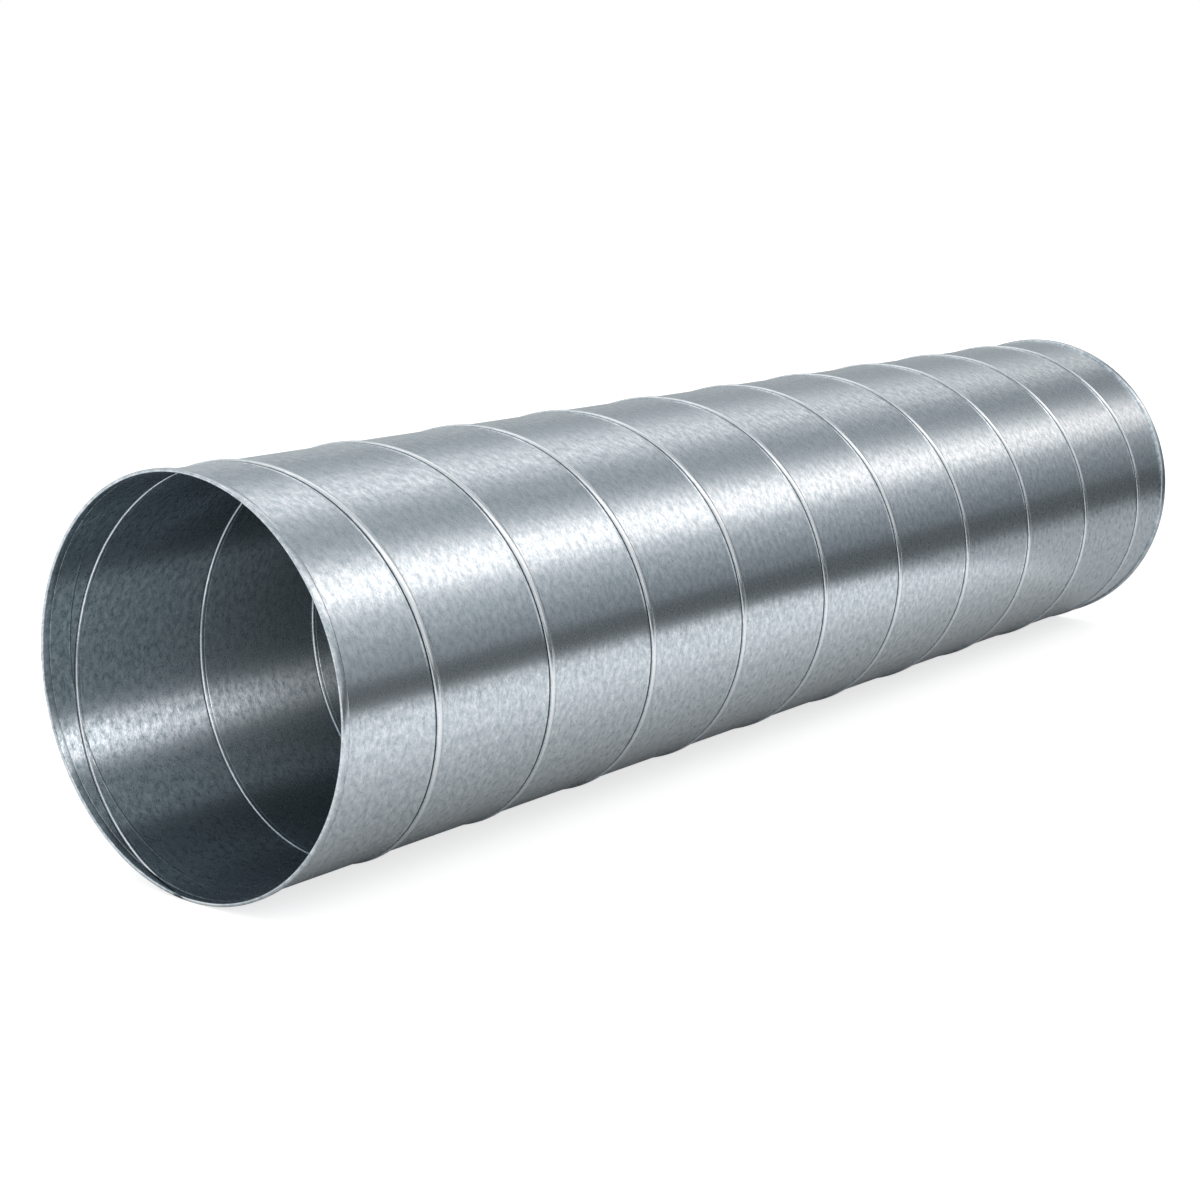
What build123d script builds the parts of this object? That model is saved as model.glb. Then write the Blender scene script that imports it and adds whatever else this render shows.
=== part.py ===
from build123d import *
import math
import os

# Spiral duct section: one galvanised strip wound into a round tube. Each turn is folded into
# the next along one helical four ply lock seam, and both cut ends are turned back into a hem.
# Millimetres, +Z up. The duct lies along X, and the origin is the middle of its axis.

# Driving dimensions
bore_diameter = 300.0
duct_length = 1250.0
sheet = 0.6
strip_width = 137.0
fold_width = 5.5
fold_plies = 4
seam_start = -59.0

# Hem: the end of the wall turned back on its outside
hem_length = 7.0
hem_thickness = 2.7
hem_edge_bevel = 0.7

# Lock seam section, outside: beside the fold the strip rises to a low ledge on both sides
ledge_width = 1.5
fold_gap = 0.9
gap_floor = 0.15
fold_slope = 0.7
seam_root = 0.2

# The wall
bore_radius = bore_diameter / 2
outer_radius = bore_radius + sheet
hem_radius = bore_radius + hem_thickness

# The fold takes up four plies of its own width where a plain wall has one, so each turn covers
# the strip less three of them. The strip, unrolled, gives the lead of the helix.
turn_cover = strip_width - (fold_plies - 1) * fold_width
girth = 2 * math.pi * (bore_radius + sheet / 2)
seam_lead = girth * math.tan(math.asin(turn_cover / girth))
seam_proud = (fold_plies - 1) * sheet

# The seam is wound from one turn before its start, past both ends, then cut off at the hems.
seam_turns = math.ceil((duct_length - seam_start) / seam_lead) + 1
along = Vector(1, 0, 0)
near_opening = Plane(origin=along * (-duct_length / 2), x_dir=(0, 1, 0), z_dir=along)
near_hem_back = near_opening.offset(hem_length)
far_hem_back = near_opening.offset(duct_length - hem_length)
seam_origin = near_opening.offset(seam_start - seam_lead).origin


def seam_profile():
    """Corners of the seam's section: along the duct, then outward from the wall's outside."""
    fold_edge = fold_width / 2
    near_edge = -(fold_edge + fold_gap + ledge_width)
    far_edge = fold_edge + ledge_width
    return [
        (near_edge, -seam_root),
        (near_edge + ledge_width, sheet),
        (near_edge + ledge_width, gap_floor),
        (-fold_edge, gap_floor),
        (-fold_edge + fold_slope, seam_proud),
        (fold_edge - fold_slope, seam_proud),
        (fold_edge, sheet),
        (far_edge, -seam_root),
    ]


# Lock seam, cut off where each hem begins
with BuildPart() as lock_seam:
    with BuildLine() as seam_path:
        Helix(seam_lead, seam_turns * seam_lead, outer_radius, center=seam_origin, direction=along)
    seam_line = seam_path.line
    with BuildSketch(Plane(origin=seam_line @ 0, x_dir=along, z_dir=seam_line % 0)):
        with BuildLine():
            Polyline(*seam_profile(), close=True)
        make_face()
    sweep(path=seam_path.line, is_frenet=True)
    split(bisect_by=near_hem_back, keep=Keep.TOP)
    split(bisect_by=far_hem_back, keep=Keep.BOTTOM)

# The tube with its hems, and the seam fused on
with BuildPart() as spiral_duct:
    with BuildSketch(near_opening):
        Circle(outer_radius)
        Circle(bore_radius, mode=Mode.SUBTRACT)
    extrude(amount=duct_length)
    with BuildSketch(near_opening, far_hem_back):
        Circle(hem_radius)
        Circle(bore_radius, mode=Mode.SUBTRACT)
    extrude(amount=hem_length)
    rim_circles = spiral_duct.edges().filter_by(GeomType.CIRCLE).group_by(Axis.X)
    chamfer(rim_circles[0] + rim_circles[-1], length=hem_edge_bevel)
    add(lock_seam.part)

os.makedirs("parts", exist_ok=True)
spiral_duct.part.label = "spiral_duct"
export_step(spiral_duct.part, "parts/spiral_duct.step")
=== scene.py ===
"""Spiral duct section: the visual model over its CAD frame, and a soft studio to show it in.

Everything is in the frame's own axes: the duct lies along X from its near opening to its far
one, +Z is up, and the origin is the middle of its axis. The duct's sizes are written in
millimetres and turned to metres where its mesh is made, and the studio's are in metres.
"""

import logging
import math
from dataclasses import dataclass, field
from enum import Enum

import bmesh
import bpy
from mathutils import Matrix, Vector


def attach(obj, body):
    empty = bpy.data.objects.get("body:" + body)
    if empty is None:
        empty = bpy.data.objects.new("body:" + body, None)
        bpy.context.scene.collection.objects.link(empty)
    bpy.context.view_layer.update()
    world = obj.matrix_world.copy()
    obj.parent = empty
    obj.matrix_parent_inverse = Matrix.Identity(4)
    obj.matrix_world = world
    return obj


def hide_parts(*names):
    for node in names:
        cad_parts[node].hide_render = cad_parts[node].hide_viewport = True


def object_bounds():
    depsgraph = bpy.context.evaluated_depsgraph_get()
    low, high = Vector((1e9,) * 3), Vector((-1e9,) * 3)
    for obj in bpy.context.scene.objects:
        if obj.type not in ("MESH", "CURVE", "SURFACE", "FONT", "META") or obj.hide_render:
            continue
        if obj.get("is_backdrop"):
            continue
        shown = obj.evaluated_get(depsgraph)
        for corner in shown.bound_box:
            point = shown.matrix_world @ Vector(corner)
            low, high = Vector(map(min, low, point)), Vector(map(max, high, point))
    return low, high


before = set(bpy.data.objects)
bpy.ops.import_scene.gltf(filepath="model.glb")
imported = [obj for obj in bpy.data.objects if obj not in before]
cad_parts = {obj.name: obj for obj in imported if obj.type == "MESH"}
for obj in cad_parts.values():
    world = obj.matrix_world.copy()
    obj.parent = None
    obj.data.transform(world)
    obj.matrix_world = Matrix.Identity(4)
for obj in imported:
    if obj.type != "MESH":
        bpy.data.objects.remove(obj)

LOG = logging.getLogger("spiral_duct")
MM = 0.001
FULL_TURN = 2 * math.pi
WHITE = (1.0, 1.0, 1.0, 1.0)
STRIP_MAP = "strip"

Colour = tuple[float, float, float, float]
Section = list[tuple[float, float]]


class Side(Enum):
    """The duct's two open ends, each with the sign of X on which it lies."""

    NEAR = -1
    FAR = 1


@dataclass(frozen=True)
class DuctSize:
    """Real sizes of the duct, in millimetres."""

    length: float = 1250.0
    bore_radius: float = 150.0
    sheet: float = 0.6
    strip_width: float = 137.0
    fold_width: float = 5.5
    fold_plies: int = 4
    seam_start: float = -59.0
    hem_length: float = 7.0
    hem_thickness: float = 2.7

    @property
    def outer_radius(self) -> float:
        """Radius of the plain wall's outside."""
        return self.bore_radius + self.sheet

    @property
    def lead(self) -> float:
        """Advance of the seam in one turn, from the width that each turn of the strip covers.

        Returns:
            The advance, in millimetres.
        """
        cover = self.strip_width - (self.fold_plies - 1) * self.fold_width
        girth = FULL_TURN * (self.bore_radius + self.sheet / 2)
        return girth * math.tan(math.asin(cover / girth))

    @property
    def seam_proud(self) -> float:
        """Height of the fold over the wall."""
        return (self.fold_plies - 1) * self.sheet

    @property
    def end(self) -> float:
        """Distance of each opening from the middle."""
        return self.length / 2

    @property
    def hem_back(self) -> float:
        """Distance from the middle to the plane where each hem begins."""
        return self.end - self.hem_length


@dataclass(frozen=True)
class SeamMarks:
    """Where painted shade and the rubbed fold's painted highlight lie across the strip, in millimetres."""

    # The gap lies this far off the fold's near edge, and the crease this far off its middle
    gap_place: float = 0.6
    gap_half: float = 0.65
    crease_place: float = 1.9
    crease_half: float = 1.0
    # Parts of those half widths between which the painted shade fades out
    fade: tuple[float, float] = (0.8, 1.1)
    # The fold is rubbed bright and lightened as a painted highlight from just outside its edge, and fully
    # over this part of its half width
    rub_sheen_margin: float = 0.1
    rub_sheen_full: float = 0.6


@dataclass(frozen=True)
class Pattern:
    """A noise on the unrolled strip: the size of its features in millimetres, and its detail."""

    across: float
    along: float
    detail: float


@dataclass(frozen=True)
class MetalFinish:
    """How the surface of a sheet metal looks. Colours are sRGB hex, and depths millimetres."""

    name: str
    light: str
    dark: str
    # The inside's darker grey is painted shade
    shaded_inside: str
    # The fold's lighter colour is partly rubbed wear and partly a painted highlight
    rubbed_sheen: str
    # Painted shade in the gap beside the fold and in the crease under it, and how much it covers
    gap_shade: str
    gap_shade_cover: float
    roughness: float
    roughness_spread: float
    rolling: float
    spangle: Pattern
    grain: Pattern
    grain_share: float
    noise_roughness: float
    tone_range: tuple[float, float]
    tone_strength: float
    tone_depth: float
    wave: Pattern
    wave_depth: float
    line_place: float
    line_width: float
    line_depth: float


@dataclass(frozen=True)
class LightBand:
    """One stop of the light tent: roll angle about the duct in degrees, and grey where 255 is white."""

    roll: float
    grey: float


def channel_light(part: float) -> float:
    """Turns one sRGB channel to linear light.

    Args:
        part: The channel, where one is white.

    Returns:
        Its linear value.
    """
    return part / 12.92 if part <= 0.04045 else ((part + 0.055) / 1.055) ** 2.4


def linear(hex_colour: str) -> Colour:
    """Turns an sRGB hex colour to linear light.

    Args:
        hex_colour: Six hex digits with a leading #.

    Returns:
        Red, green, blue and an alpha of one.
    """
    return (*(channel_light(int(hex_colour[i:i + 2], 16) / 255) for i in (1, 3, 5)), 1.0)


def add_node(tree: bpy.types.NodeTree, kind: str, links: dict | None = None, inputs: dict | None = None,
             **settings: object) -> bpy.types.Node:
    """Adds a node, sets it up and links it.

    Args:
        tree: The node tree.
        kind: The node's type name.
        links: Input name or number to the output socket that feeds it.
        inputs: Input name or number to its constant.
        **settings: The node's own properties.

    Returns:
        The new node.
    """
    made = tree.nodes.new(kind)
    for key, value in settings.items():
        setattr(made, key, value)
    for key, value in (inputs or {}).items():
        made.inputs[key].default_value = value
    for key, socket in (links or {}).items():
        tree.links.new(socket, made.inputs[key])
    return made


def bare_material(name: str) -> bpy.types.Material:
    """Makes a material with an empty node tree.

    Args:
        name: The material's name.

    Returns:
        The material.
    """
    mat = bpy.data.materials.new(name)
    mat.use_nodes = True
    mat.node_tree.nodes.clear()
    return mat


def distance_from(tree: bpy.types.NodeTree, value: bpy.types.NodeSocket,
                  place: float) -> bpy.types.NodeSocket:
    """Adds the distance of a value from a fixed one.

    Args:
        tree: The node tree.
        value: The value's socket.
        place: The fixed value.

    Returns:
        The distance's socket.
    """
    off = add_node(tree, "ShaderNodeMath", operation="SUBTRACT", links={0: value}, inputs={1: place})
    return add_node(tree, "ShaderNodeMath", operation="ABSOLUTE", links={0: off.outputs[0]}).outputs[0]


def object_axes(tree: bpy.types.NodeTree) -> bpy.types.Node:
    """Adds the object's own coordinates, one by one.

    Args:
        tree: The node tree.

    Returns:
        A node with the outputs X, Y and Z.
    """
    place = add_node(tree, "ShaderNodeTexCoord").outputs["Object"]
    return add_node(tree, "ShaderNodeSeparateXYZ", links={0: place})


def roll_angle(tree: bpy.types.NodeTree, axes: bpy.types.Node) -> bpy.types.NodeSocket:
    """Adds the roll angle about the duct's axis: 0 on the camera's side, and a right angle at the top.

    Args:
        tree: The node tree.
        axes: The node with the object's coordinates.

    Returns:
        The angle's socket, in radians.
    """
    front = add_node(tree, "ShaderNodeMath", operation="MULTIPLY",
                     links={0: axes.outputs["Y"]}, inputs={1: -1.0})
    return add_node(tree, "ShaderNodeMath", operation="ARCTAN2",
                    links={0: axes.outputs["Z"], 1: front.outputs[0]}).outputs[0]


def place_stage(bm: bmesh.types.BMesh, name: str, mat: bpy.types.Material) -> bpy.types.Object:
    """Makes a stage object from a mesh in progress.

    Args:
        bm: The mesh in progress, which is freed.
        name: The object's name.
        mat: Its material.

    Returns:
        The stage object.
    """
    mesh = bpy.data.meshes.new(name)
    bm.to_mesh(mesh)
    bm.free()
    mesh.materials.append(mat)
    thing = bpy.data.objects.new(name, mesh)
    bpy.context.scene.collection.objects.link(thing)
    thing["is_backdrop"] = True
    return thing


@dataclass(frozen=True)
class SheetMetal:
    """Builds the material of a zinc coated sheet on the unrolled strip's own coordinates."""

    finish: MetalFinish
    size: DuctSize
    marks: SeamMarks = SeamMarks()

    def build(self) -> bpy.types.Material:
        """Makes the material.

        Returns:
            The finished material.
        """
        look = self.finish
        mat = bare_material(look.name)
        tree = mat.node_tree
        strip = add_node(tree, "ShaderNodeUVMap", uv_map=STRIP_MAP).outputs["UV"]
        inside = self._inside(tree)
        spangle = self._noise(tree, strip, look.spangle)
        grain = self._noise(tree, strip, look.grain)
        tone = add_node(tree, "ShaderNodeMath", operation="MULTIPLY_ADD",
                        links={0: grain, 2: spangle}, inputs={1: look.grain_share}).outputs[0]
        rough = add_node(tree, "ShaderNodeMapRange", links={"Value": tone}, inputs={
            "From Min": look.tone_range[0], "From Max": look.tone_range[1],
            "To Min": look.roughness + look.roughness_spread,
            "To Max": look.roughness - look.roughness_spread,
        })
        across = add_node(tree, "ShaderNodeTangent", direction_type="UV_MAP", uv_map=STRIP_MAP)
        metal = add_node(tree, "ShaderNodeBsdfPrincipled",
                         inputs={"Metallic": 1.0, "Anisotropic": look.rolling}, links={
                             "Base Color": self._colour(tree, strip, tone, inside),
                             "Roughness": rough.outputs["Result"],
                             "Normal": self._relief(tree, strip, tone, inside),
                             "Tangent": across.outputs["Tangent"],
                         })
        add_node(tree, "ShaderNodeOutputMaterial", links={"Surface": metal.outputs["BSDF"]})
        return mat

    def _colour(self, tree: bpy.types.NodeTree, strip: bpy.types.NodeSocket, tone: bpy.types.NodeSocket,
                inside: bpy.types.NodeSocket) -> bpy.types.NodeSocket:
        """Adds the colour: the zinc's tones, the inside's painted shade, the rubbed fold with its painted
        highlight, and the painted shade beside it and in the crease.

        Args:
            tree: The material's node tree.
            strip: The strip's coordinates in metres, across and along.
            tone: The zinc's tone.
            inside: One on the inside of the wall.

        Returns:
            The colour.
        """
        look = self.finish
        mixed = add_node(tree, "ShaderNodeMapRange", links={"Value": tone},
                         inputs={"From Min": look.tone_range[0], "From Max": look.tone_range[1]})
        # The inside is painted a darker grey, as shade
        dark = add_node(tree, "ShaderNodeMix", data_type="RGBA", links={"Factor": inside},
                        inputs={"A": linear(look.dark), "B": linear(look.shaded_inside)})
        colour = dark.outputs["Result"]
        # Over the tones go the rubbed fold, lightened partly as a painted highlight, and the painted shade
        # of the gap and the crease
        for factor, over in (
                (mixed.outputs["Result"], look.light),
                (self._fold_crest(tree, strip, inside), look.rubbed_sheen),
                (self._gap_shade_mask(tree, strip, inside), look.gap_shade)):
            colour = add_node(tree, "ShaderNodeMix", data_type="RGBA", inputs={"B": linear(over)},
                              links={"Factor": factor, "A": colour}).outputs["Result"]
        return colour

    def _relief(self, tree: bpy.types.NodeTree, strip: bpy.types.NodeSocket, tone: bpy.types.NodeSocket,
                inside: bpy.types.NodeSocket) -> bpy.types.NodeSocket:
        """Adds the normal: the wall's long waves, the line near each end, and the zinc's own relief.

        Args:
            tree: The material's node tree.
            strip: The strip's coordinates in metres, across and along.
            tone: The zinc's tone.
            inside: One on the inside of the wall.

        Returns:
            The normal.
        """
        look = self.finish
        below = {}
        for height, strength, depth in (
                (self._noise(tree, strip, look.wave), 1.0, look.wave_depth),
                (self._end_line(tree, inside), 1.0, look.line_depth),
                (tone, look.tone_strength, look.tone_depth)):
            bump = add_node(tree, "ShaderNodeBump", links={"Height": height, **below},
                            inputs={"Strength": strength, "Distance": depth * MM})
            below = {"Normal": bump.outputs["Normal"]}
        return below["Normal"]

    def _inside(self, tree: bpy.types.NodeTree) -> bpy.types.NodeSocket:
        """Adds a value that is one on the inside of the duct's wall, and zero on its outside.

        Args:
            tree: The material's node tree.

        Returns:
            The value's socket.
        """
        axes = object_axes(tree)
        flat = add_node(tree, "ShaderNodeCombineXYZ",
                        links={"Y": axes.outputs["Y"], "Z": axes.outputs["Z"]})
        radius = add_node(tree, "ShaderNodeVectorMath", operation="LENGTH", links={0: flat.outputs[0]})
        return add_node(tree, "ShaderNodeMath", operation="LESS_THAN", links={0: radius.outputs["Value"]},
                        inputs={1: (self.size.bore_radius + self.size.sheet / 2) * MM}).outputs[0]

    def _gap_shade_mask(self, tree: bpy.types.NodeTree, strip: bpy.types.NodeSocket,
                  inside: bpy.types.NodeSocket) -> bpy.types.NodeSocket:
        """Adds a mask of painted shade in the gap beside the fold outside and in the crease under it
        inside.

        Args:
            tree: The material's node tree.
            strip: The strip's coordinates in metres, across and along.
            inside: One on the inside of the wall.

        Returns:
            The mask, the painted shade's cover in the gap and the crease.
        """
        marks = self.marks
        gap = self.size.lead - self.size.fold_width / 2 - marks.gap_place
        crease = self.size.lead - marks.crease_place
        across = add_node(tree, "ShaderNodeSeparateXYZ", links={0: strip}).outputs["X"]
        middle = add_node(tree, "ShaderNodeMath", operation="MULTIPLY_ADD", links={0: inside},
                          inputs={1: (crease - gap) * MM, 2: gap * MM})
        half = add_node(tree, "ShaderNodeMath", operation="MULTIPLY_ADD", links={0: inside},
                        inputs={1: (marks.crease_half - marks.gap_half) * MM, 2: marks.gap_half * MM})
        off = add_node(tree, "ShaderNodeMath", operation="SUBTRACT",
                       links={0: across, 1: middle.outputs[0]})
        away = add_node(tree, "ShaderNodeMath", operation="ABSOLUTE", links={0: off.outputs[0]})
        part = add_node(tree, "ShaderNodeMath", operation="DIVIDE",
                        links={0: away.outputs[0], 1: half.outputs[0]})
        return add_node(tree, "ShaderNodeMapRange", links={"Value": part.outputs[0]}, inputs={
            "From Min": marks.fade[0], "From Max": marks.fade[1],
            "To Min": self.finish.gap_shade_cover, "To Max": 0.0}).outputs["Result"]

    def _fold_crest(self, tree: bpy.types.NodeTree, strip: bpy.types.NodeSocket,
                    inside: bpy.types.NodeSocket) -> bpy.types.NodeSocket:
        """Adds a mask of the fold's outside, which the forming rollers rub bright and which is lightened
        as a painted highlight.

        Args:
            tree: The material's node tree.
            strip: The strip's coordinates in metres, across and along.
            inside: One on the inside of the wall.

        Returns:
            The mask, one on the fold.
        """
        half_lead = self.size.lead / 2
        half_fold = self.size.fold_width / 2
        across = add_node(tree, "ShaderNodeSeparateXYZ", links={0: strip}).outputs["X"]
        away = distance_from(tree, across, half_lead * MM)
        crest = add_node(tree, "ShaderNodeMapRange", links={"Value": away}, inputs={
            "From Min": (half_lead - half_fold - self.marks.rub_sheen_margin) * MM,
            "From Max": (half_lead - self.marks.rub_sheen_full * half_fold) * MM})
        return add_node(tree, "ShaderNodeMath", operation="SUBTRACT", use_clamp=True,
                        links={0: crest.outputs["Result"], 1: inside}).outputs[0]

    def _end_line(self, tree: bpy.types.NodeTree, inside: bpy.types.NodeSocket) -> bpy.types.NodeSocket:
        """Adds the height of a fine line pressed round the inside near both ends.

        Args:
            tree: The material's node tree.
            inside: One on the inside of the wall.

        Returns:
            The height, one on the line and zero away from it.
        """
        axes = object_axes(tree)
        along = add_node(tree, "ShaderNodeMath", operation="ABSOLUTE", links={0: axes.outputs["X"]})
        away = distance_from(tree, along.outputs[0], (self.size.end - self.finish.line_place) * MM)
        line = add_node(tree, "ShaderNodeMapRange", interpolation_type="SMOOTHSTEP",
                        links={"Value": away}, inputs={
                            "From Min": 0.0, "From Max": self.finish.line_width * MM,
                            "To Min": 1.0, "To Max": 0.0})
        return add_node(tree, "ShaderNodeMath", operation="MULTIPLY",
                        links={0: line.outputs["Result"], 1: inside}).outputs[0]

    def _noise(self, tree: bpy.types.NodeTree, strip: bpy.types.NodeSocket,
               pattern: Pattern) -> bpy.types.NodeSocket:
        """Adds a noise whose features have a real size on the strip.

        Args:
            tree: The material's node tree.
            strip: The strip's coordinates in metres, across and along.
            pattern: The noise's sizes and detail.

        Returns:
            The noise's value.
        """
        scaled = add_node(tree, "ShaderNodeMapping", vector_type="POINT", links={"Vector": strip}, inputs={
            "Scale": (1 / (pattern.across * MM), 1 / (pattern.along * MM), 1.0)})
        noise = add_node(tree, "ShaderNodeTexNoise", noise_dimensions="2D",
                         links={"Vector": scaled.outputs["Vector"]}, inputs={
                             "Scale": 1.0, "Detail": pattern.detail,
                             "Roughness": self.finish.noise_roughness})
        return noise.outputs["Fac"]


@dataclass
class Duct:
    """The duct's visual mesh: one wound wall with its lock seam, and a hem at each end."""

    size: DuctSize
    name: str = "spiral_duct_visual"
    steps: int = 144
    hem_fold_steps: int = 8
    sharp_angle: float = 35.0
    # Distances that count as none, in metres: where turns meet, and at the plane of a cut
    weld: float = 0.01 * MM
    cut_slack: float = 1e-7
    rim_slack: float = 1e-6
    bm: bmesh.types.BMesh = field(default_factory=bmesh.new)

    def build(self, material: bpy.types.Material) -> bpy.types.Object:
        """Makes the duct.

        Args:
            material: The sheet's material.

        Returns:
            The finished object, at the origin.
        """
        wall = bmesh.new()
        turn = [*self._wind(wall, self._outer_section(), self.size.outer_radius),
                *self._wind(wall, self._inner_section(), self.size.bore_radius)]
        self._repeat(wall, turn)
        for side in Side:
            self._cut_end(wall, side)
        self._absorb(wall)
        for side in Side:
            self._absorb(self._hem(side))
        bmesh.ops.recalc_face_normals(self.bm, faces=self.bm.faces)
        self._smooth()
        self._unroll()
        mesh = bpy.data.meshes.new(self.name)
        self.bm.to_mesh(mesh)
        self.bm.free()
        mesh.materials.append(material)
        duct = bpy.data.objects.new(self.name, mesh)
        bpy.context.scene.collection.objects.link(duct)
        return duct

    def _outer_section(self) -> Section:
        """The outside over one lead: distance from the fold's middle, and height over the wall.

        Each bend has a second point close beside it, which keeps the plain wall's shading flat.

        Returns:
            Points from near to far, in millimetres.
        """
        half_fold = self.size.fold_width / 2
        half_lead = self.size.lead / 2
        top = self.size.seam_proud
        near_ledge = [(3.2, 0.0), (2.9, 0.0), (2.7, 0.03), (2.2, 0.3), (1.75, 0.46), (1.45, 0.46),
                      (1.3, 0.36)]
        gap = [(1.2, 0.04), (0.1, 0.02)]
        near_flank = [(0.0, 0.45), (0.15, 0.85), (0.5, 1.25), (1.0, top - 0.25), (1.7, top - 0.07)]
        far_flank = [(1.7, top - 0.07), (1.0, top - 0.25), (0.5, top - 0.55), (0.15, 0.8), (0.0, 0.4)]
        far_ledge = [(0.1, 0.08), (0.35, 0.06), (0.5, 0.31), (0.8, 0.38), (1.2, 0.26), (1.7, 0.02),
                     (1.9, 0.0), (2.2, 0.0)]
        return [
            (-half_lead, 0.0),
            *((-half_fold - off, height) for off, height in near_ledge + gap),
            *((-half_fold + into, height) for into, height in near_flank),
            (0.0, top - 0.01),
            *((half_fold - into, height) for into, height in far_flank),
            *((half_fold + off, height) for off, height in far_ledge),
            (half_lead, 0.0),
        ]

    def _inner_section(self) -> Section:
        """The inside over one lead: distance from the fold's middle, and depth into the wall.

        Returns:
            Points from near to far, in millimetres.
        """
        half_lead = self.size.lead / 2
        crease = [(-3.4, 0.0), (-3.1, 0.0), (-2.95, 0.02), (-1.05, 0.7), (-0.85, 0.78), (-0.68, 0.74),
                  (-0.12, 0.05), (0.0, 0.0), (0.3, 0.0)]
        groove = [(1.5, 0.0), (1.7, 0.01), (2.6, 0.16), (2.75, 0.14), (3.0, 0.0), (3.3, 0.0)]
        return [(-half_lead, 0.0), *crease, *groove, (half_lead, 0.0)]

    def _wind(self, wall: bmesh.types.BMesh, section: Section, radius: float) -> list[bmesh.types.BMFace]:
        """Winds a section one turn along the helix, starting a turn before the seam does.

        Args:
            wall: The mesh to wind it in.
            section: The section over one lead.
            radius: The radius on which the section's heights start, in millimetres.

        Returns:
            The turn's faces.
        """
        start = -self.size.end + self.size.seam_start - self.size.lead
        chain = [wall.verts.new(((start + u) * MM, 0.0, (radius + h) * MM)) for u, h in section]
        edges = [wall.edges.new(pair) for pair in zip(chain, chain[1:])]
        before = set(wall.faces)
        bmesh.ops.spin(wall, geom=[*chain, *edges], cent=(0, 0, 0), axis=(1, 0, 0),
                       dvec=(self.size.lead / self.steps * MM, 0, 0), angle=FULL_TURN, steps=self.steps)
        return [face for face in wall.faces if face not in before]

    def _repeat(self, wall: bmesh.types.BMesh, turn: list[bmesh.types.BMFace]) -> None:
        """Repeats one turn past the far end, and joins each turn to the next.

        Args:
            wall: The wall's mesh.
            turn: The turn's faces.
        """
        last = math.ceil((self.size.length - self.size.seam_start) / self.size.lead) + 1
        for count in range(1, last + 1):
            copy = bmesh.ops.duplicate(wall, geom=turn)["geom"]
            bmesh.ops.translate(wall, vec=(count * self.size.lead * MM, 0, 0),
                                verts=[v for v in copy if isinstance(v, bmesh.types.BMVert)])
        bmesh.ops.remove_doubles(wall, verts=wall.verts, dist=self.weld)

    def _cut_end(self, wall: bmesh.types.BMesh, side: Side) -> None:
        """Cuts the wound wall off where the hem begins, and closes it between inside and outside.

        Args:
            wall: The wall's mesh.
            side: The end to cut.
        """
        plane = side.value * self.size.hem_back * MM
        bmesh.ops.bisect_plane(wall, geom=[*wall.verts, *wall.edges, *wall.faces], dist=self.cut_slack,
                               plane_co=(plane, 0, 0), plane_no=(side.value, 0, 0), clear_outer=True)
        rim = [edge for edge in wall.edges if edge.is_boundary
               and all(abs(v.co.x - plane) < self.rim_slack for v in edge.verts)]
        bmesh.ops.triangle_fill(wall, edges=rim, normal=(side.value, 0, 0), use_beauty=True)

    def _hem(self, side: Side) -> bmesh.types.BMesh:
        """Makes the hem at one end: the sheet turned back on its outside, round at the folded edge.

        Args:
            side: The end to hem.

        Returns:
            The hem's mesh.
        """
        bore, thick, long = self.size.bore_radius, self.size.hem_thickness, self.size.hem_length
        half = thick / 2
        turned = (math.radians(90 - 180 * i / self.hem_fold_steps) for i in range(self.hem_fold_steps + 1))
        fold = [(half - half * math.cos(a), bore + half - half * math.sin(a)) for a in turned]
        # The back of the hem is eased on both sides, and its outside slightly crowned
        inner_back = [(long, bore), (long - 0.15, bore + 0.1), (long - 0.5, bore)]
        outer_back = [(3.6, bore + thick), (5.6, bore + thick - 0.15), (long - 0.5, bore + thick - 0.4),
                      (long - 0.15, bore + thick - 0.8), (long, bore + thick - 1.3)]
        hem = bmesh.new()
        ring = [hem.verts.new((side.value * (self.size.end - x) * MM, 0.0, r * MM))
                for x, r in inner_back + fold + outer_back]
        edges = [hem.edges.new(pair) for pair in zip(ring, ring[1:] + ring[:1])]
        bmesh.ops.spin(hem, geom=[*ring, *edges], cent=(0, 0, 0), axis=(1, 0, 0),
                       angle=FULL_TURN, steps=self.steps, use_merge=True)
        return hem

    def _absorb(self, part: bmesh.types.BMesh) -> None:
        """Adds a part's mesh to the duct's, and frees it.

        Args:
            part: The part's mesh.
        """
        mesh = bpy.data.meshes.new("part")
        part.to_mesh(mesh)
        part.free()
        self.bm.from_mesh(mesh)
        bpy.data.meshes.remove(mesh)

    def _smooth(self) -> None:
        """Shades the mesh smooth, with sharp edges where it bends by more than the sharp angle."""
        limit = math.radians(self.sharp_angle)
        for face in self.bm.faces:
            face.smooth = True
        for edge in self.bm.edges:
            edge.smooth = not (edge.is_manifold and edge.calc_face_angle(0.0) > limit)

    def _unroll(self) -> None:
        """Writes each corner's place on the unrolled strip, in metres, across it and along it."""
        layer = self.bm.loops.layers.uv.new(STRIP_MAP)
        lead = self.size.lead * MM
        start = (-self.size.end + self.size.seam_start) * MM
        for face in self.bm.faces:
            middle = face.calc_center_median()
            roll = math.atan2(-middle.y, middle.z)
            turn = math.floor((middle.x - start) / lead - roll / FULL_TURN)
            for loop in face.loops:
                at = loop.vert.co
                corner = math.atan2(-at.y, at.z)
                corner += FULL_TURN * round((roll - corner) / FULL_TURN)
                angle = corner + FULL_TURN * turn
                across = at.x - start - lead * angle / FULL_TURN
                loop[layer].uv = (across, angle * self.size.outer_radius * MM)


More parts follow.
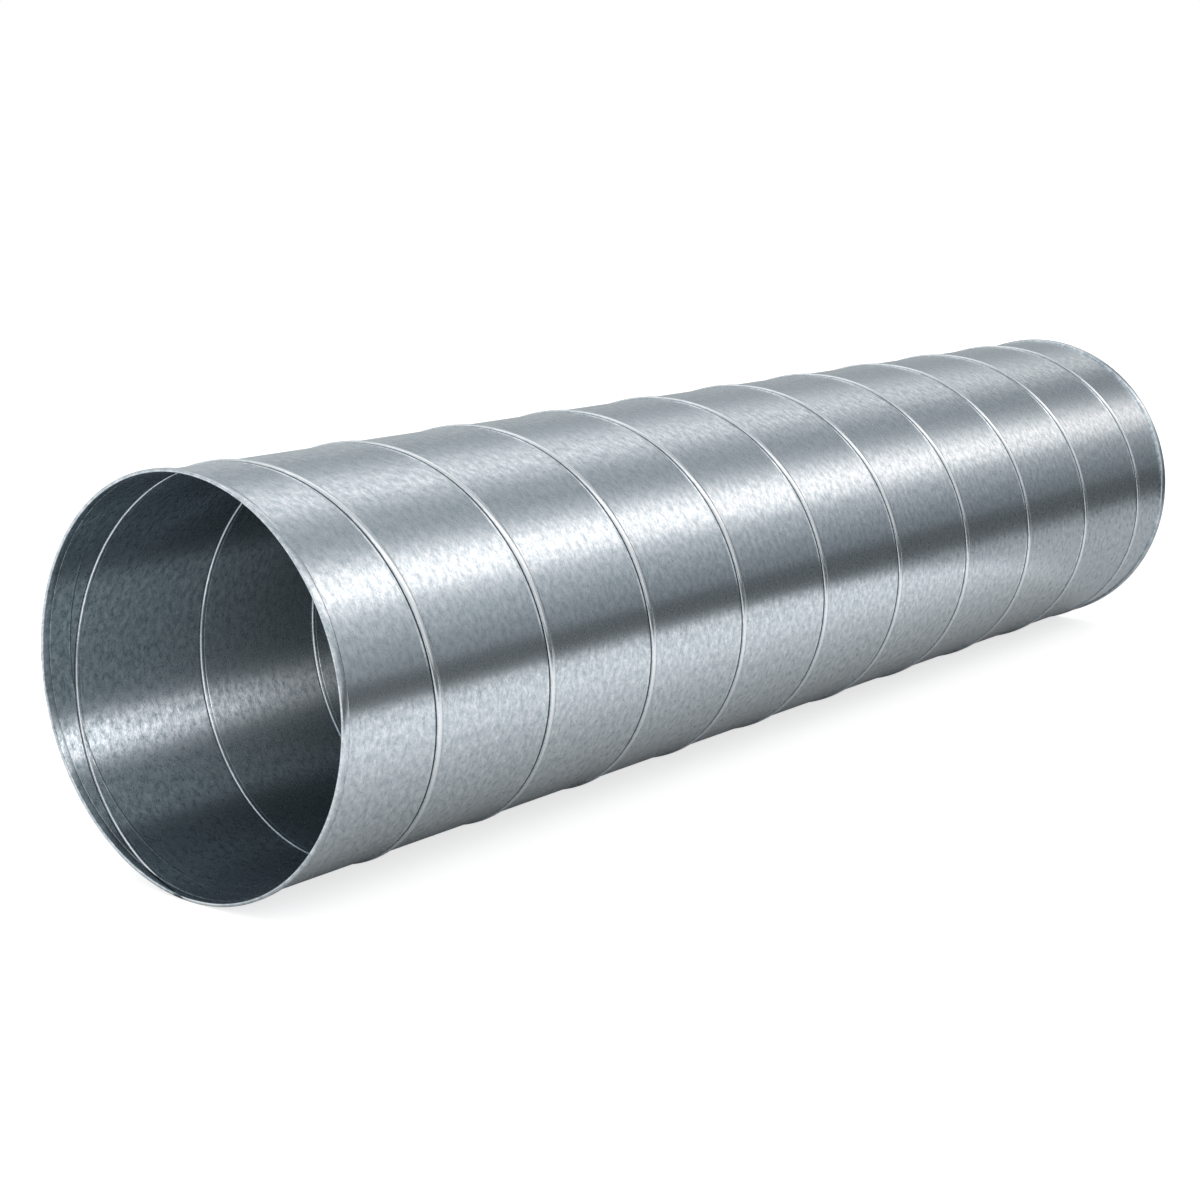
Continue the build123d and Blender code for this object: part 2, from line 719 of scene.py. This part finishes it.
@dataclass(frozen=True)
class StudioFloor:
    """A wide matt floor, white for the camera, which keeps the duct's shadow."""

    height: float
    half_width: float = 14.0
    colour: Colour = (0.6, 0.6, 0.6, 1.0)
    # The glow rises between these two distances from the duct's middle
    glow_place: tuple[float, float] = (1.5, 4.0)
    glow: tuple[float, float] = (0.72, 1.0)
    # Mirrored in the metal, the glow carries a painted shadow of the duct: it starts this far from
    # the duct's axis, and rises to its share. The axis is a line this long each way, and its reach is
    # past any floor that shows.
    mirror_shadow_place: tuple[float, float] = (0.06, 0.38)
    mirror_share: float = 0.72
    axis_half: float = 0.5
    axis_reach: float = 10.0

    def build(self) -> bpy.types.Object:
        """Makes the floor.

        Returns:
            The floor.
        """
        mat = bare_material("matt white studio floor")
        tree = mat.node_tree
        place = add_node(tree, "ShaderNodeTexCoord").outputs["Object"]
        away = add_node(tree, "ShaderNodeVectorMath", operation="LENGTH", links={0: place})
        white = add_node(tree, "ShaderNodeMapRange", links={"Value": away.outputs["Value"]}, inputs={
            "From Min": self.glow_place[0], "From Max": self.glow_place[1],
            "To Min": self.glow[0], "To Max": self.glow[1]})
        part = add_node(tree, "ShaderNodeMath", operation="MULTIPLY", links={
            0: self._shown(tree), 1: white.outputs["Result"]})
        matt = add_node(tree, "ShaderNodeBsdfDiffuse", inputs={"Color": self.colour})
        glow = add_node(tree, "ShaderNodeEmission", inputs={"Color": WHITE},
                        links={"Strength": part.outputs[0]})
        both = add_node(tree, "ShaderNodeAddShader", links={0: matt.outputs[0], 1: glow.outputs[0]})
        add_node(tree, "ShaderNodeOutputMaterial", links={"Surface": both.outputs[0]})
        bm = bmesh.new()
        bmesh.ops.create_grid(bm, x_segments=1, y_segments=1, size=self.half_width)
        bmesh.ops.translate(bm, vec=(0, 0, self.height), verts=bm.verts)
        return place_stage(bm, "studio_floor", mat)

    def _shown(self, tree: bpy.types.NodeTree) -> bpy.types.NodeSocket:
        """Adds the share of the glow that a ray sees: all for the camera, and less in a reflection, with a
        painted shadow of the duct near its axis.

        Args:
            tree: The floor's node tree.

        Returns:
            The share's socket.
        """
        path = add_node(tree, "ShaderNodeLightPath")
        axes = object_axes(tree)
        along = add_node(tree, "ShaderNodeMath", operation="ABSOLUTE", links={0: axes.outputs["X"]})
        past = add_node(tree, "ShaderNodeMapRange", links={"Value": along.outputs[0]}, inputs={
            "From Min": self.axis_half, "From Max": self.axis_half + self.axis_reach,
            "To Min": 0.0, "To Max": self.axis_reach})
        off = add_node(tree, "ShaderNodeCombineXYZ",
                       links={"X": past.outputs["Result"], "Y": axes.outputs["Y"]})
        away = add_node(tree, "ShaderNodeVectorMath", operation="LENGTH", links={0: off.outputs[0]})
        # The painted shadow: the mirrored glow is dark near the duct's axis and rises away from it
        share = add_node(tree, "ShaderNodeMapRange", interpolation_type="SMOOTHSTEP",
                         links={"Value": away.outputs["Value"]}, inputs={
                             "From Min": self.mirror_shadow_place[0], "From Max": self.mirror_shadow_place[1],
                             "To Min": 0.0, "To Max": self.mirror_share})
        mirrored = add_node(tree, "ShaderNodeMath", operation="MAXIMUM", links={
            0: path.outputs["Is Glossy Ray"], 1: path.outputs["Is Transmission Ray"]})
        shaded = add_node(tree, "ShaderNodeMath", operation="MULTIPLY", links={
            0: mirrored.outputs[0], 1: share.outputs["Result"]})
        return add_node(tree, "ShaderNodeMath", operation="MAXIMUM", links={
            0: path.outputs["Is Camera Ray"], 1: shaded.outputs[0]}).outputs[0]


@dataclass(frozen=True)
class LightTent:
    """A closed tube of lit cloth round the duct, whose light changes with the roll angle."""

    bands: tuple[LightBand, ...]
    radius: float = 3.0
    segments: int = 96
    ends: tuple[float, float] = (-6.0, 9.0)
    # The bands' colours hold this part of their light, and the strength gives the rest
    held: float = 0.5
    # Bright bands are a little warm and dim ones cool: red and blue on green, then what dimness adds
    warmth: tuple[float, float] = (1.07, 0.97)
    cooling: tuple[float, float] = (-0.29, 0.13)
    # The tent's near part is mixed with a plain grey, which fades out over this stretch of X
    behind: Colour = (0.31, 0.305, 0.3, 1.0)
    behind_share: float = 0.6
    behind_fade: tuple[float, float] = (0.9, 2.0)
    # The light falls off along X, and the tent is nearly dark past the second stretch
    fall_place: tuple[float, float] = (2.3, 7.0)
    fall: tuple[float, float] = (3.35, 2.5)
    dark_place: tuple[float, float] = (7.2, 8.2)
    dark_share: float = 0.1

    def build(self) -> bpy.types.Object:
        """Makes the tent, which only the duct's reflections and the light on things show.

        Returns:
            The tent.
        """
        bm = bmesh.new()
        bmesh.ops.create_cone(bm, cap_ends=True, segments=self.segments, radius1=self.radius,
                              radius2=self.radius, depth=self.ends[1] - self.ends[0])
        bmesh.ops.rotate(bm, cent=(0, 0, 0), verts=bm.verts,
                         matrix=Vector((1, 0, 0)).to_track_quat("Z", "Y").to_matrix())
        bmesh.ops.translate(bm, vec=(sum(self.ends) / 2, 0, 0), verts=bm.verts)
        tent = place_stage(bm, "light_tent", self._cloth())
        tent.visible_camera = False
        tent.visible_shadow = False
        return tent

    def _cloth(self) -> bpy.types.Material:
        """Makes the tent's lit cloth.

        Returns:
            The material.
        """
        mat = bare_material("lit white tent cloth")
        tree = mat.node_tree
        axes = object_axes(tree)
        along = axes.outputs["X"]
        behind = add_node(tree, "ShaderNodeMapRange", interpolation_type="SMOOTHSTEP",
                          links={"Value": along}, inputs={
                              "From Min": self.behind_fade[0], "From Max": self.behind_fade[1],
                              "To Min": self.behind_share, "To Max": 0.0})
        cloth = add_node(tree, "ShaderNodeMix", data_type="RGBA", inputs={"B": self.behind}, links={
            "Factor": behind.outputs["Result"], "A": self._banded(tree, axes)})
        fall = add_node(tree, "ShaderNodeMapRange", links={"Value": along}, inputs={
            "From Min": self.fall_place[0], "From Max": self.fall_place[1],
            "To Min": self.fall[0], "To Max": self.fall[1]})
        beyond = add_node(tree, "ShaderNodeMapRange", interpolation_type="SMOOTHSTEP",
                          links={"Value": along}, inputs={
                              "From Min": self.dark_place[0], "From Max": self.dark_place[1],
                              "To Min": 1.0, "To Max": self.dark_share})
        strength = add_node(tree, "ShaderNodeMath", operation="MULTIPLY", links={
            0: fall.outputs["Result"], 1: beyond.outputs["Result"]})
        glow = add_node(tree, "ShaderNodeEmission", links={
            "Color": cloth.outputs["Result"], "Strength": strength.outputs[0]})
        add_node(tree, "ShaderNodeOutputMaterial", links={"Surface": glow.outputs[0]})
        return mat

    def _banded(self, tree: bpy.types.NodeTree, axes: bpy.types.Node) -> bpy.types.NodeSocket:
        """Adds the bands' colour by roll angle.

        Args:
            tree: The cloth's node tree.
            axes: The node with the tent's coordinates.

        Returns:
            The colour.
        """
        first = self.bands[0].roll
        last = self.bands[-1].roll
        part = add_node(tree, "ShaderNodeMapRange", links={"Value": roll_angle(tree, axes)},
                        inputs={"From Min": math.radians(first), "From Max": math.radians(last)})
        ramp = add_node(tree, "ShaderNodeValToRGB", links={"Fac": part.outputs["Result"]})
        stops = ramp.color_ramp.elements
        stops.remove(stops[-1])
        for count, band in enumerate(self.bands):
            stop = stops.new((band.roll - first) / (last - first)) if count else stops[0]
            light = channel_light(band.grey / 255) * self.held
            dim = 1 - band.grey / 255
            red, blue = (light * (warm + cool * dim) for warm, cool in zip(self.warmth, self.cooling))
            stop.color = (red, light, blue, 1.0)
        return ramp.outputs["Color"]


@dataclass(frozen=True)
class Card:
    """A flat card, or a sheet of painted shade, that the camera doesn't see and the duct mirrors."""

    name: str
    material: str
    colour: str
    corners: tuple[tuple[float, float, float], ...]
    # Whether it also shades the light that falls on other things
    shades: bool
    roughness: float = 0.9

    def build(self) -> bpy.types.Object:
        """Makes the card.

        Returns:
            The card.
        """
        mat = bpy.data.materials.new(self.material)
        mat.use_nodes = True
        surface = mat.node_tree.nodes["Principled BSDF"].inputs
        surface["Base Color"].default_value = linear(self.colour)
        surface["Roughness"].default_value = self.roughness
        bm = bmesh.new()
        bm.faces.new([bm.verts.new(corner) for corner in self.corners])
        card = place_stage(bm, self.name, mat)
        card.visible_camera = False
        card.visible_diffuse = self.shades
        card.visible_shadow = self.shades
        return card


@dataclass(frozen=True)
class BoreLining:
    """A dim lit lining with one bright strip in the bore, on the side that the camera doesn't see.

    It shines inwards only. The strip is lit for the first reflection alone, so that the bore shows
    a single band of light.
    """

    radius: float = 0.147
    middle: float = -0.2
    length: float = 0.64
    grid: tuple[int, int] = (4, 48)
    # Rolls in degrees: the lining's middle and width, the strip's middle, and where the strip fades
    roll: float = 10.0
    roll_width: float = 210.0
    strip_roll: float = 38.0
    strip_fade: tuple[float, float] = (4.0, 23.0)
    # Light of the lining, of its strip, and of the whole lining in later reflections
    dim: Colour = (0.25, 0.295, 0.31, 1.0)
    strip: Colour = (2.35, 2.3, 2.29, 1.0)
    later: Colour = (0.2, 0.24, 0.25, 1.0)
    first_depth: float = 1.5
    # The light fades into the bore between these places along X, to this share
    fade_place: tuple[float, float] = (-0.47, -0.12)
    deep_share: float = 0.12

    def build(self) -> bpy.types.Object:
        """Makes the lining.

        Returns:
            The lining.
        """
        bm = bmesh.new()
        bmesh.ops.create_grid(bm, x_segments=self.grid[0], y_segments=self.grid[1], size=0.5)
        for vert in bm.verts:
            roll = math.radians(self.roll + vert.co.y * self.roll_width)
            vert.co = (self.middle + self.length * vert.co.x,
                       -self.radius * math.cos(roll), self.radius * math.sin(roll))
        lining = place_stage(bm, "bore_lining", self._cloth())
        lining.visible_camera = False
        return lining

    def _cloth(self) -> bpy.types.Material:
        """Makes the lining's lit cloth.

        Returns:
            The material.
        """
        mat = bare_material("dim lit lining")
        tree = mat.node_tree
        axes = object_axes(tree)
        away = distance_from(tree, roll_angle(tree, axes), math.radians(self.strip_roll))
        strip = add_node(tree, "ShaderNodeMapRange", interpolation_type="SMOOTHSTEP",
                         links={"Value": away}, inputs={
                             "From Min": math.radians(self.strip_fade[0]),
                             "From Max": math.radians(self.strip_fade[1]),
                             "To Min": 1.0, "To Max": 0.0})
        near = add_node(tree, "ShaderNodeMix", data_type="RGBA", links={"Factor": strip.outputs["Result"]},
                        inputs={"A": self.dim, "B": self.strip})
        depth = add_node(tree, "ShaderNodeLightPath").outputs["Ray Depth"]
        first = add_node(tree, "ShaderNodeMath", operation="LESS_THAN",
                         links={0: depth}, inputs={1: self.first_depth})
        lit = add_node(tree, "ShaderNodeMix", data_type="RGBA", inputs={"A": self.later},
                       links={"Factor": first.outputs[0], "B": near.outputs["Result"]})
        fade = add_node(tree, "ShaderNodeMapRange", links={"Value": axes.outputs["X"]}, inputs={
            "From Min": self.fade_place[0], "From Max": self.fade_place[1],
            "To Min": 1.0, "To Max": self.deep_share})
        glow = add_node(tree, "ShaderNodeEmission", links={
            "Color": lit.outputs["Result"], "Strength": fade.outputs["Result"]})
        clear = add_node(tree, "ShaderNodeBsdfTransparent")
        turned = add_node(tree, "ShaderNodeNewGeometry").outputs["Backfacing"]
        one_sided = add_node(tree, "ShaderNodeMixShader", links={
            0: turned, 1: clear.outputs[0], 2: glow.outputs[0]})
        add_node(tree, "ShaderNodeOutputMaterial", links={"Surface": one_sided.outputs[0]})
        return mat


@dataclass(frozen=True)
class Studio:
    """The floor, the tent and what the duct mirrors besides them, a white world and the camera."""

    floor_height: float
    bands: tuple[LightBand, ...]
    # The cards stand or lie just clear of the floor
    flag_clear: float = 0.001
    shade_sheet_clear: float = 0.0005
    fill: float = 0.5
    lens: float = 67.82
    sensor: float = 36.0
    camera_place: tuple[float, float, float] = (-1.6324, -1.1509, 0.3718)
    camera_aim: tuple[float, float, float] = (0.77139, 0.60369, -0.20126)

    def build(self) -> None:
        """Makes the studio's things, and reports each."""
        low = self.floor_height + self.flag_clear
        flat = self.floor_height + self.shade_sheet_clear
        # A low card along the duct on the camera's side, which rises away from the camera
        flag = Card("grey_flag", "grey felt flag", "#707274", shades=True, corners=(
            (-3.0, -0.79, low), (4.5, -0.42, low), (4.5, -0.42, 0.125), (-3.0, -0.79, -0.06)))
        # A grey sheet of painted shade that only reflections show: it darkens the floor that the far end
        # of the duct mirrors, and nothing else
        cloth = Card("mirrored_floor_shade", "grey mirrored floor shade", "#CFD2D4", shades=False, corners=(
            (0.6, -1.4, flat), (5.0, -1.4, flat), (5.0, 0.5, flat), (0.6, 0.5, flat)))
        for thing in (StudioFloor(self.floor_height), LightTent(self.bands), flag, BoreLining(), cloth):
            LOG.info("stage: %s", thing.build().name)
        self._world()
        self._camera()

    def _world(self) -> None:
        """Makes the world: white where it is seen, and a soft fill elsewhere."""
        world = bpy.data.worlds.new("white backdrop")
        bpy.context.scene.world = world
        world.use_nodes = True
        tree = world.node_tree
        tree.nodes.clear()
        path = add_node(tree, "ShaderNodeLightPath")
        either = add_node(tree, "ShaderNodeMath", operation="MAXIMUM", links={
            0: path.outputs["Is Camera Ray"], 1: path.outputs["Is Glossy Ray"]})
        seen = add_node(tree, "ShaderNodeMath", operation="MAXIMUM", links={
            0: either.outputs[0], 1: path.outputs["Is Transmission Ray"]})
        fill = add_node(tree, "ShaderNodeBackground", inputs={"Color": WHITE, "Strength": self.fill})
        back = add_node(tree, "ShaderNodeBackground", inputs={"Color": WHITE, "Strength": 1.0})
        both = add_node(tree, "ShaderNodeMixShader", links={
            0: seen.outputs[0], 1: fill.outputs[0], 2: back.outputs[0]})
        add_node(tree, "ShaderNodeOutputWorld", links={"Surface": both.outputs[0]})

    def _camera(self) -> None:
        """Places the camera at the photo's viewing angle."""
        data = bpy.data.cameras.new("camera")
        data.lens = self.lens
        data.sensor_width = self.sensor
        camera = bpy.data.objects.new("camera", data)
        camera.location = self.camera_place
        camera.rotation_mode = "QUATERNION"
        camera.rotation_quaternion = Vector(self.camera_aim).to_track_quat("-Z", "Y")
        bpy.context.scene.collection.objects.link(camera)
        bpy.context.scene.camera = camera


# Steel strip, cold rolled and then hot dipped in zinc. The zinc's small crystals mottle it, the
# rolling runs along the strip and draws its highlights out across it, the fold is rubbed bright
# and also lightened as a painted highlight, the inside is painted a darker grey as shade, and the
# gap beside the fold and the crease under it are painted dark as shade.
GALVANISED = MetalFinish(
    name="hot dip galvanised steel strip",
    light="#E8EFF4", dark="#A8B7C0", shaded_inside="#84949E",
    rubbed_sheen="#EAF1F6", gap_shade="#3C464C", gap_shade_cover=0.85,
    roughness=0.25, roughness_spread=0.06, rolling=0.6,
    spangle=Pattern(across=5.0, along=7.5, detail=6.0),
    # The real grain is finer than a pixel of the render, so it is drawn as coarse as it needs to show
    grain=Pattern(across=0.8, along=2.4, detail=2.0), grain_share=0.5,
    noise_roughness=0.7, tone_range=(0.5, 1.0), tone_strength=0.12, tone_depth=0.01,
    wave=Pattern(across=70.0, along=175.0, detail=0.0), wave_depth=0.03,
    line_place=25.0, line_width=1.0, line_depth=0.25,
)

# The studio as the duct's side mirrors it, from the camera's side at 0 over the top at 90 degrees
TENT_BANDS = tuple(LightBand(roll, grey) for roll, grey in (
    (-30, 160), (-12, 126), (0, 110), (10, 122), (22, 152), (33, 176), (41, 240), (50, 275), (57, 242),
    (66, 168), (76, 134), (88, 140), (98, 172), (106, 228), (116, 207), (128, 158), (140, 132),
    (150, 146), (160, 162), (170, 155), (210, 120),
))


def main() -> None:
    """Builds the duct over its CAD node, and the studio."""
    logging.basicConfig(level=logging.INFO, format="%(message)s")
    bpy.context.scene.view_settings.view_transform = "Standard"
    cad_box = [list(corner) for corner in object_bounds()]
    size = DuctSize()
    duct = Duct(size).build(SheetMetal(GALVANISED, size).build())
    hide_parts("spiral_duct")
    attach(duct, "root")
    LOG.info("duct faces: %d", len(duct.data.polygons))
    Studio(floor_height=cad_box[0][2], bands=TENT_BANDS).build()


if __name__ == "__main__":
    main()
